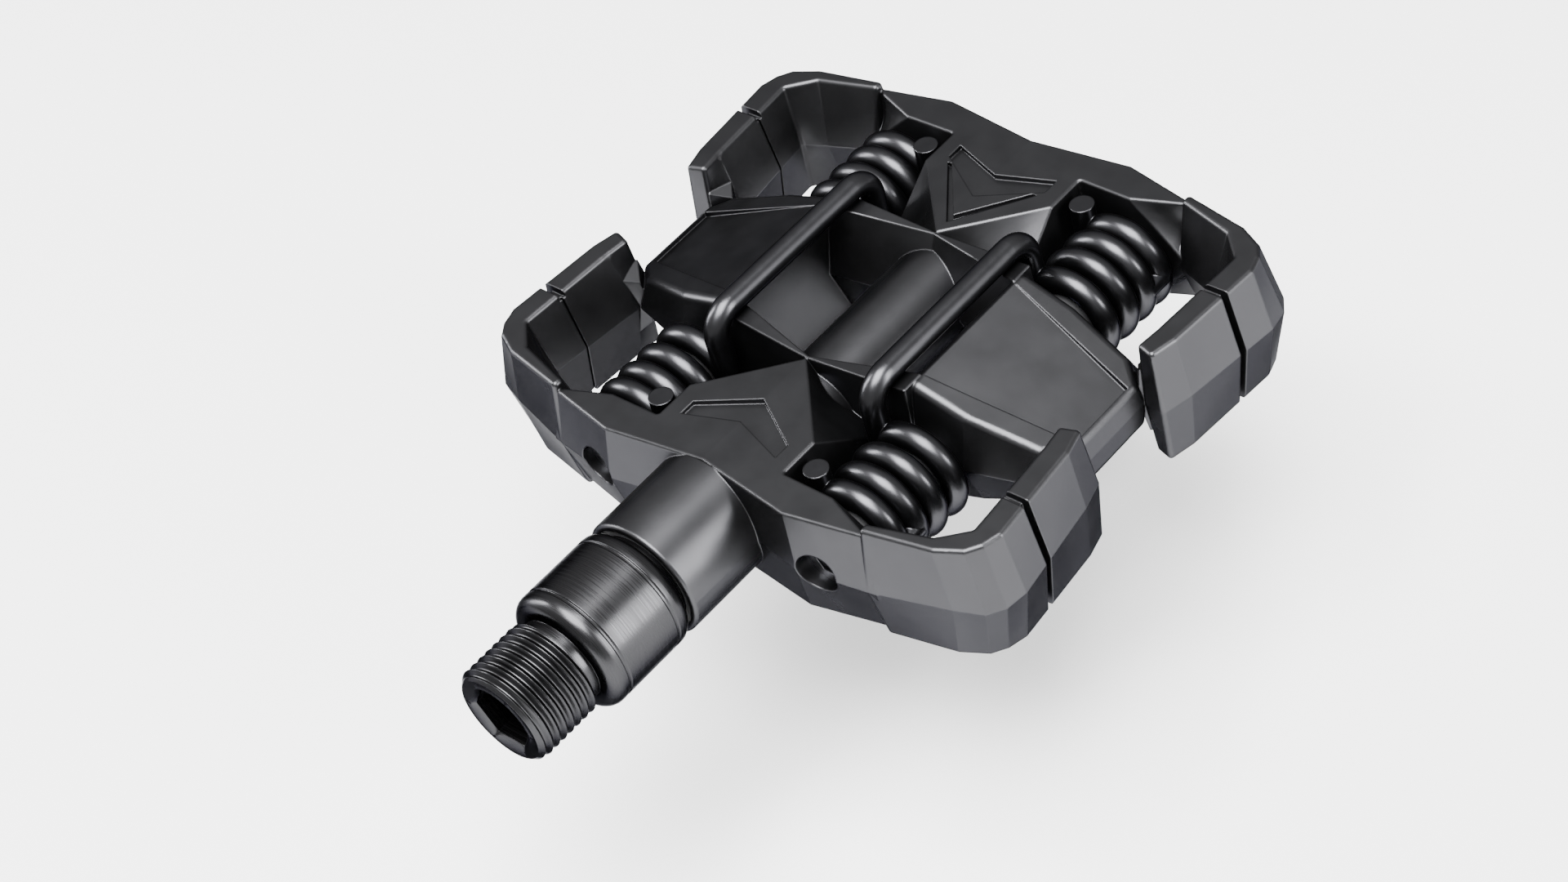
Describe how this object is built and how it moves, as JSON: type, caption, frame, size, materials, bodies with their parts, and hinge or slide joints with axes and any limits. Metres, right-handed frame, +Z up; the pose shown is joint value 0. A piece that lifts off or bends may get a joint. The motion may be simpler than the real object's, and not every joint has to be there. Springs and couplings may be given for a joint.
{
  "type": "clipless pedal",
  "caption": "Double-sided clipless bicycle pedal: cast body on a threaded spindle, with sprung wire arches that hold a shoe cleat.",
  "frame": {"origin": "on the spindle axis, at the inner end of the crank thread", "axes": "+Y outboard along the spindle, X fore and aft, +Z up out of the tread"},
  "size_m": [0.0874, 0.111, 0.0264],
  "materials": {
    "body_black": "satin black coating over die-cast aluminium",
    "spindle_black": "black oxide on turned steel",
    "wire_black": "glossy black plated spring wire",
    "rubber_black": "matte",
    "bush_polymer": "self-lubricating polymer",
    "spacer_polymer": "matte black",
    "bearing_steel": "ground",
    "ball_steel": "polished",
    "cage_brass": "pressed",
    "shield_steel": "pressed",
    "fastener_steel": "black oxide",
    "pin_steel": "ground",
    "cap_black": "black anodised"
  },
  "bodies": {
    "spindle": {"spindle": "spindle_black", "bearing_inner_ring": "bearing_steel", "spindle_washer": "fastener_steel", "spindle_nut": "fastener_steel"},
    "pedal_body": {"pedal_body": "body_black", "dust_seal": "rubber_black", "inboard_bush": "bush_polymer", "bearing_outer_ring": "bearing_steel", "bearing_balls": "ball_steel", "bearing_cage": "cage_brass", "bearing_shields": "shield_steel", "end_cap": "cap_black", "end_cap_o_ring": "rubber_black", "pivot_pin_screws": "fastener_steel", "front_pivot_pin": "pin_steel", "front_inboard_spacer": "spacer_polymer", "front_inboard_spring": "wire_black", "front_outboard_spacer": "spacer_polymer", "front_outboard_spring": "wire_black", "rear_pivot_pin": "pin_steel", "rear_inboard_spacer": "spacer_polymer", "rear_inboard_spring": "wire_black", "rear_outboard_spacer": "spacer_polymer", "rear_outboard_spring": "wire_black"},
    "front_top_arch": {"front_top_arch": "wire_black"},
    "front_bottom_arch": {"front_bottom_arch": "wire_black"},
    "rear_top_arch": {"rear_top_arch": "wire_black"},
    "rear_bottom_arch": {"rear_bottom_arch": "wire_black"}
  },
  "joints": [
    {"name": "pedal_spin", "type": "hinge", "parent": "spindle", "child": "pedal_body", "pos_m": [0, 0.0642, 0], "axis": [0, 1, 0], "continuous": true},
    {"name": "front_top_release", "type": "hinge", "parent": "pedal_body", "child": "front_top_arch", "pos_m": [0.019, 0.0642, 0], "axis": [0, 1, 0], "range_deg": [0, 25], "stiffness_Nm_per_rad": 1, "springref_deg": -34.38},
    {"name": "front_bottom_release", "type": "hinge", "parent": "pedal_body", "child": "front_bottom_arch", "pos_m": [0.019, 0.0642, 0], "axis": [0, -1, 0], "range_deg": [0, 25], "stiffness_Nm_per_rad": 1, "springref_deg": -34.38},
    {"name": "rear_top_release", "type": "hinge", "parent": "pedal_body", "child": "rear_top_arch", "pos_m": [-0.019, 0.0642, 0], "axis": [0, -1, 0], "range_deg": [0, 25], "stiffness_Nm_per_rad": 1, "springref_deg": -34.38},
    {"name": "rear_bottom_release", "type": "hinge", "parent": "pedal_body", "child": "rear_bottom_arch", "pos_m": [-0.019, 0.0642, 0], "axis": [0, 1, 0], "range_deg": [0, 25], "stiffness_Nm_per_rad": 1, "springref_deg": -34.38}
  ]
}
